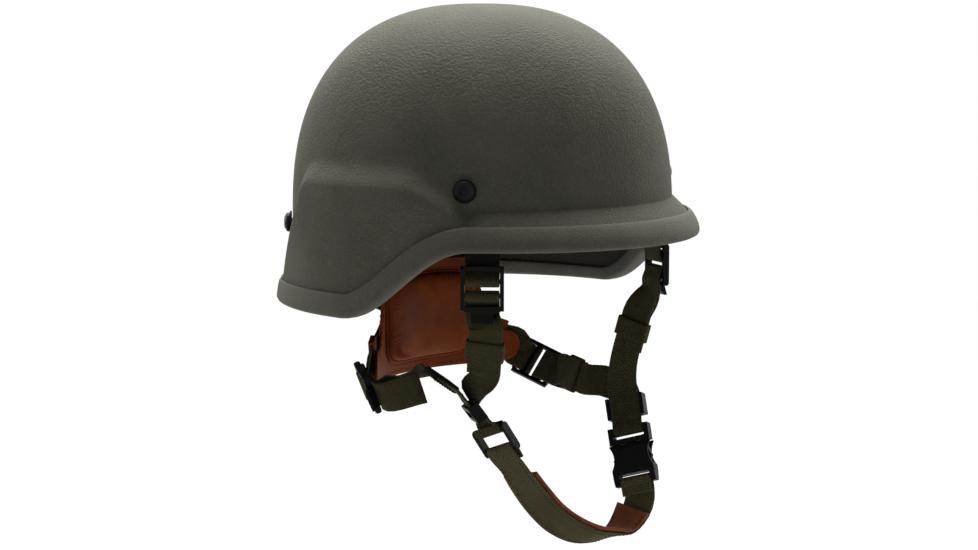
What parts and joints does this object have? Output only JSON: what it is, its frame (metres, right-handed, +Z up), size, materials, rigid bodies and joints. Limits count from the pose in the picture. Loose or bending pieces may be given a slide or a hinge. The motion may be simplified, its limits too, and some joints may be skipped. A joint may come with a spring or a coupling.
{
  "type": "combat helmet",
  "caption": "Deep composite helmet shell with rubber edging, bolted webbing cradle, leather headband and nape pad, and a buckled webbing chin harness with ladder locks.",
  "frame": {"origin": "centre of the head opening, level with the edge of the brim", "axes": "+X towards the brim, +Y towards the wearer's left, +Z up through the crown"},
  "size_m": [0.2673, 0.2548, 0.3339],
  "materials": {
    "shell_paint": "sand textured paint, dark grey green",
    "edge_rubber": "moulded rubber edge in the colour of the shell",
    "black_steel": "satin black screws",
    "washer_rubber": "dull rubber",
    "post_steel": "blackened",
    "olive_webbing": "woven olive webbing",
    "black_webbing": "woven black webbing",
    "harness_plastic": "satin moulded plastic",
    "clip_plastic": "matt moulded plastic",
    "band_leather": "smooth leather",
    "nape_leather": "soft leather with a light sheen",
    "chin_suede": "brushed suede",
    "cord": "round woven cord"
  },
  "bodies": {
    "helmet": {"shell": "shell_paint", "edge_trim": "edge_rubber", "bolts": "black_steel", "bolt_washers": "washer_rubber", "post_nuts": "post_steel", "cradle_band": "olive_webbing", "crown_straps": "olive_webbing", "crown_cord": "cord", "headband": "band_leather", "headband_clips": "clip_plastic", "front_hanger_left": "black_webbing", "front_hanger_right": "black_webbing", "front_loop_left": "olive_webbing", "front_loop_right": "olive_webbing", "front_lock_left": "harness_plastic", "front_lock_right": "harness_plastic", "front_strap_left": "olive_webbing", "front_strap_right": "olive_webbing", "rear_hanger_left": "olive_webbing", "rear_hanger_right": "olive_webbing", "rear_lock_left": "harness_plastic", "rear_lock_right": "harness_plastic", "rear_strap_left": "olive_webbing", "rear_strap_right": "olive_webbing", "nape_backing": "nape_leather", "nape_cushion_pad": "nape_leather", "nape_loops": "nape_leather", "junction_glide_left": "harness_plastic", "junction_glide_right": "harness_plastic", "buckle_plug": "harness_plastic", "chin_slider": "harness_plastic"},
    "chin": {"buckle_socket": "harness_plastic", "chin_strap": "olive_webbing", "chin_lining": "chin_suede"},
    "prong_front": {"prong_front": "harness_plastic"},
    "prong_rear": {"prong_rear": "harness_plastic"},
    "keeper_front_left": {"front_keeper_left": "olive_webbing"},
    "keeper_front_right": {"front_keeper_right": "olive_webbing"},
    "keeper_rear_left": {"rear_keeper_left": "olive_webbing"},
    "keeper_rear_right": {"rear_keeper_right": "olive_webbing"}
  },
  "joints": [
    {"name": "chin_swing", "type": "hinge", "parent": "helmet", "child": "chin", "pos_m": [0.06688, -0.05542, -0.12467], "axis": [-0.9323, -0.0404, -0.3595], "range_deg": [0, 75]},
    {"name": "prong_front_bend", "type": "hinge", "parent": "helmet", "child": "prong_front", "pos_m": [0.07705, 0.06831, -0.13399], "axis": [-0.2713, 0.9088, -0.317], "range_deg": [0, 6], "stiffness_Nm_per_rad": 0.6},
    {"name": "prong_rear_bend", "type": "hinge", "parent": "helmet", "child": "prong_rear", "pos_m": [0.06044, 0.06161, -0.13901], "axis": [0.2713, -0.9088, 0.317], "range_deg": [0, 6], "stiffness_Nm_per_rad": 0.6},
    {"name": "keeper_front_left_slide", "type": "slide", "parent": "helmet", "child": "keeper_front_left", "axis": [0.2318, 0.1159, 0.9658], "range_m": [-0.004, 0.0035]},
    {"name": "keeper_front_right_slide", "type": "slide", "parent": "helmet", "child": "keeper_front_right", "axis": [0.247, -0.19, 0.9502], "range_m": [-0.004, 0.004]},
    {"name": "keeper_rear_left_slide", "type": "slide", "parent": "helmet", "child": "keeper_rear_left", "axis": [-0.9619, 0.2405, 0.1303], "range_m": [-0.004, 0.004]},
    {"name": "keeper_rear_right_slide", "type": "slide", "parent": "helmet", "child": "keeper_rear_right", "axis": [-0.9339, 0.1868, 0.3048], "range_m": [-0.0025, 0.004]}
  ]
}
